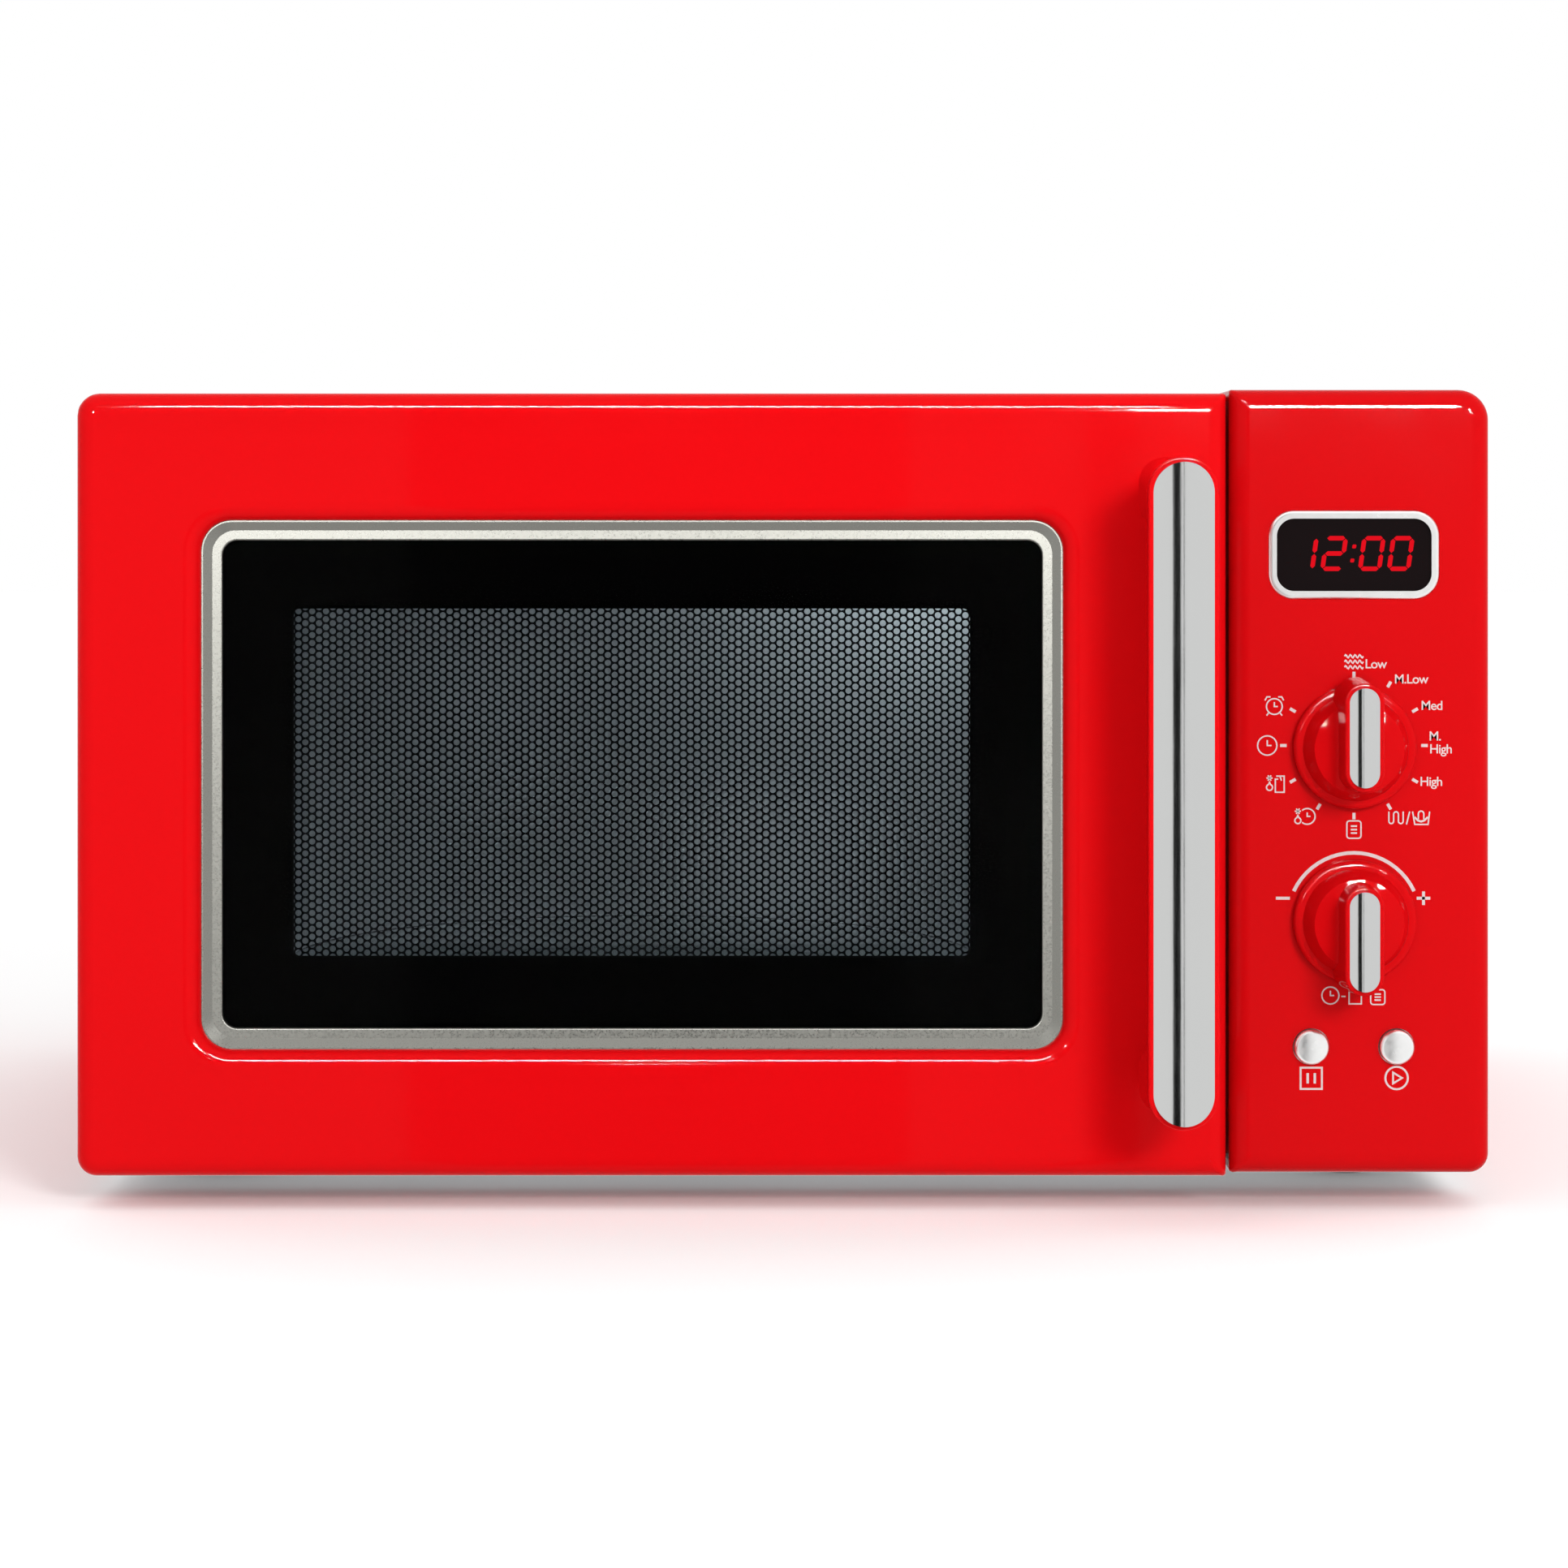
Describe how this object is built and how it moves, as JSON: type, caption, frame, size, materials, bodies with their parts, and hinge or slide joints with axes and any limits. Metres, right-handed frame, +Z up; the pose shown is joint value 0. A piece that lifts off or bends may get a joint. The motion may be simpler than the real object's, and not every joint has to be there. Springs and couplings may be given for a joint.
{
  "type": "microwave oven",
  "caption": "Retro countertop microwave oven with a side-hinged windowed door, bar handle, clock display, two rotary knobs and two round push buttons.",
  "frame": {"origin": "on the floor, under the centre of the whole object's box", "axes": "+X to the right as seen from the front, the front with its door and controls faces -Y, +Z up"},
  "size_m": [0.44, 0.3912, 0.2551],
  "materials": {
    "body_paint": "gloss baked paint over steel, fine orange peel",
    "door_red": "high-gloss moulded red plastic",
    "panel_red": "high-gloss moulded red plastic",
    "satin_silver": "satin silver",
    "bright_chrome": "bright plated",
    "tinted_glass": "clear glass with a black printed border",
    "clear_glass": "clear",
    "display_lens": "dark smoked, polished",
    "black_screen": "black, perforated",
    "zinc_steel": "zinc plated",
    "frame_enamel": "black enamel",
    "cavity_enamel": "light grey enamel",
    "black_plastic": "moulded, fine texture",
    "white_plastic": "moulded",
    "bush_rubber": "moulded",
    "mica": "pressed mica",
    "heater_steel": "heat-darkened",
    "magnetron_metal": "satin",
    "core_steel": "varnished laminations",
    "winding_copper": "enamelled copper wire",
    "can_aluminium": "satin",
    "board_green": "solder resist",
    "encoder_metal": "satin"
  },
  "bodies": {
    "cabinet": {"cabinet_shell": "body_paint", "rear_panel": "zinc_steel", "base_plate": "zinc_steel", "feet": "black_plastic", "front_plate": "zinc_steel", "hinge_brackets": "zinc_steel", "oven_cavity": "cavity_enamel", "grill_element": "heater_steel", "wall_spacers": "black_plastic", "case_screws": "zinc_steel", "cord_bush": "bush_rubber", "waveguide": "zinc_steel", "waveguide_cover": "mica", "magnetron": "magnetron_metal", "transformer_core": "core_steel", "transformer_windings": "winding_copper", "hv_capacitor": "can_aluminium", "hv_diode": "black_plastic", "fan_shroud": "black_plastic", "fan_motor": "core_steel", "oven_lamp": "zinc_steel", "thermal_cutout": "encoder_metal", "filter_board": "board_green", "interlock_bracket": "black_plastic", "interlock_switches": "black_plastic", "turntable_motor": "can_aluminium", "control_panel": "panel_red", "display_bezel": "bright_chrome", "display_lens": "display_lens", "display_module": "black_plastic", "control_board": "board_green", "power_encoder": "encoder_metal", "timer_encoder": "encoder_metal"},
    "door": {"door_fascia": "door_red", "window_trim": "satin_silver", "door_glass": "tinted_glass", "door_screen": "black_screen", "choke_frame": "frame_enamel", "choke_cover": "black_plastic", "inner_window": "clear_glass", "door_screws": "zinc_steel", "door_handle": "door_red", "handle_trim": "bright_chrome", "latch_spring": "zinc_steel"},
    "door_latch": {"latch_hooks": "black_plastic"},
    "power_knob": {"power_knob": "panel_red", "power_knob_trim": "bright_chrome", "power_shaft": "zinc_steel"},
    "timer_knob": {"timer_knob": "panel_red", "timer_knob_trim": "bright_chrome", "timer_shaft": "zinc_steel"},
    "stop_button": {"stop_button": "bright_chrome"},
    "start_button": {"start_button": "bright_chrome"},
    "fan": {"fan_blade": "black_plastic"},
    "turntable_coupler": {"turntable_coupler": "white_plastic"},
    "glass_plate": {"glass_plate": "clear_glass"},
    "roller_ring": {"roller_ring": "white_plastic"},
    "roller_1": {"roller_1": "white_plastic"},
    "roller_2": {"roller_2": "white_plastic"},
    "roller_3": {"roller_3": "white_plastic"}
  },
  "joints": [
    {"name": "door_hinge", "type": "hinge", "parent": "cabinet", "child": "door", "pos_m": [-0.211, -0.1396, 0.132], "axis": [0, 0, -1], "range_deg": [0, 105]},
    {"name": "latch_slide", "type": "slide", "parent": "door", "child": "door_latch", "axis": [0, 0, 1], "range_m": [0, 0.004], "stiffness_N_per_m": 500, "springref_m": -0.002, "deforming": ["latch_spring"]},
    {"name": "power_knob_turn", "type": "hinge", "parent": "cabinet", "child": "power_knob", "pos_m": [0.1773, -0.1586, 0.144], "axis": [0, 1, 0], "range_deg": [0, 300]},
    {"name": "timer_knob_turn", "type": "hinge", "parent": "cabinet", "child": "timer_knob", "pos_m": [0.1773, -0.1586, 0.0901], "axis": [0, 1, 0], "continuous": true},
    {"name": "stop_button_press", "type": "slide", "parent": "cabinet", "child": "stop_button", "axis": [0, 1, 0], "range_m": [0, 0.0012], "stiffness_N_per_m": 800, "springref_m": -0.002},
    {"name": "start_button_press", "type": "slide", "parent": "cabinet", "child": "start_button", "axis": [0, 1, 0], "range_m": [0, 0.0012], "stiffness_N_per_m": 800, "springref_m": -0.002},
    {"name": "fan_spin", "type": "hinge", "parent": "cabinet", "child": "fan", "pos_m": [0.158, 0.148, 0.128], "axis": [0, 1, 0], "continuous": true},
    {"name": "turntable_spin", "type": "hinge", "parent": "cabinet", "child": "turntable_coupler", "pos_m": [-0.054, 0.0256, 0.03], "axis": [0, 0, 1], "continuous": true},
    {"name": "plate_lift", "type": "slide", "parent": "turntable_coupler", "child": "glass_plate", "axis": [0, 0, 1], "range_m": [0, 0.02]},
    {"name": "roller_ring_spin", "type": "hinge", "parent": "cabinet", "child": "roller_ring", "pos_m": [-0.054, 0.0256, 0.0367], "axis": [0, 0, 1], "continuous": true},
    {"name": "roller_1_spin", "type": "hinge", "parent": "roller_ring", "child": "roller_1", "pos_m": [0.03, 0.0741, 0.0367], "axis": [0.866, 0.5, 0], "continuous": true},
    {"name": "roller_2_spin", "type": "hinge", "parent": "roller_ring", "child": "roller_2", "pos_m": [-0.138, 0.0741, 0.0367], "axis": [-0.866, 0.5, 0], "continuous": true},
    {"name": "roller_3_spin", "type": "hinge", "parent": "roller_ring", "child": "roller_3", "pos_m": [-0.054, -0.0714, 0.0367], "axis": [0, -1, 0], "continuous": true}
  ],
  "couplings": [
    {"joint": "roller_ring_spin", "follows": "turntable_spin", "ratio": 0.5},
    {"joint": "roller_1_spin", "follows": "turntable_spin", "ratio": -7.4615},
    {"joint": "roller_2_spin", "follows": "turntable_spin", "ratio": -7.4615},
    {"joint": "roller_3_spin", "follows": "turntable_spin", "ratio": -7.4615}
  ]
}
